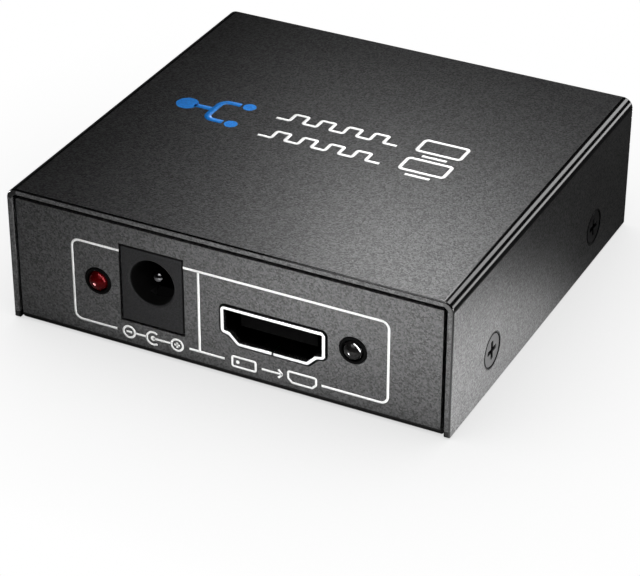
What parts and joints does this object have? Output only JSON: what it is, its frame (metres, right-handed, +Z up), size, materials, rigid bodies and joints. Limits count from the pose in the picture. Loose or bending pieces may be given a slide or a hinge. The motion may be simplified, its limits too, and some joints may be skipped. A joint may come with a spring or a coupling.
{
  "type": "video splitter",
  "caption": "Low black folded-steel box that repeats one digital video input to several screens, with video sockets, a barrel power jack and indicator lamps.",
  "frame": {"origin": "middle of the underside", "axes": "+X to the right seen from the front, +Y from front to back, +Z up"},
  "size_m": [0.064, 0.0626, 0.02],
  "materials": {
    "case_paint": "fine textured semi-gloss black powder coat",
    "cover_screw_black": "black oxide",
    "standoff_brass": "nickel-free turned brass",
    "board_screw_steel": "zinc plated",
    "board_laminate": "green solder mask",
    "socket_nickel": "bright nickel plate",
    "socket_insulator_black": "moulded, fine matt",
    "contact_gold": "gold flash",
    "jack_black": "moulded, fine matt",
    "jack_nickel": "nickel plate",
    "lamp_red": "tinted clear epoxy",
    "lamp_smoke": "dark tinted epoxy",
    "lamp_holder_black": "moulded, fine matt",
    "lead_tin": "tinned",
    "chip_black": "moulded epoxy",
    "can_metal": "drawn can",
    "ferrite_grey": "fired ferrite",
    "ceramic_tan": "fired ceramic"
  },
  "bodies": {
    "case": {"top_cover": "case_paint", "base_tray": "case_paint", "cover_screws": "cover_screw_black", "board_standoffs": "standoff_brass", "board_screws": "board_screw_steel", "circuit_board": "board_laminate", "power_jack_housing": "jack_black", "power_jack_centre_pin": "jack_nickel", "power_jack_sleeve_terminal": "jack_nickel", "power_jack_switch_contact": "jack_nickel", "splitter_chip": "chip_black", "splitter_chip_leads": "lead_tin", "control_chip": "chip_black", "control_chip_leads": "lead_tin", "voltage_regulators": "chip_black", "voltage_regulator_leads": "lead_tin", "crystal_can": "can_metal", "crystal_leads": "lead_tin", "filter_capacitor_cans": "can_metal", "filter_capacitor_bases": "chip_black", "power_inductor": "ferrite_grey", "protection_diode": "chip_black", "protection_diode_leads": "lead_tin", "chip_resistors": "ferrite_grey", "chip_capacitors": "ceramic_tan", "surge_protectors": "chip_black", "input_socket_shell": "socket_nickel", "input_socket_insulator": "socket_insulator_black", "input_socket_contacts": "contact_gold", "output_1_socket_shell": "socket_nickel", "output_1_socket_insulator": "socket_insulator_black", "output_1_socket_contacts": "contact_gold", "output_2_socket_shell": "socket_nickel", "output_2_socket_insulator": "socket_insulator_black", "output_2_socket_contacts": "contact_gold", "power_lamp_lens": "lamp_red", "power_lamp_holder": "lamp_holder_black", "power_lamp_leads": "lead_tin", "signal_lamp_lens": "lamp_smoke", "signal_lamp_holder": "lamp_holder_black", "signal_lamp_leads": "lead_tin", "output_1_lamp_lens": "lamp_smoke", "output_1_lamp_holder": "lamp_holder_black", "output_1_lamp_leads": "lead_tin", "output_2_lamp_lens": "lamp_smoke", "output_2_lamp_holder": "lamp_holder_black", "output_2_lamp_leads": "lead_tin"},
    "sleeve_spring": {"power_jack_sleeve_spring": "jack_nickel"}
  },
  "joints": [
    {"name": "sleeve_spring_flex", "type": "hinge", "parent": "case", "child": "sleeve_spring", "pos_m": [-0.0105, -0.0202, 0.00655], "axis": [1, 0, 0], "range_deg": [0, 5], "stiffness_Nm_per_rad": 0.05, "springref_deg": -5.73}
  ]
}
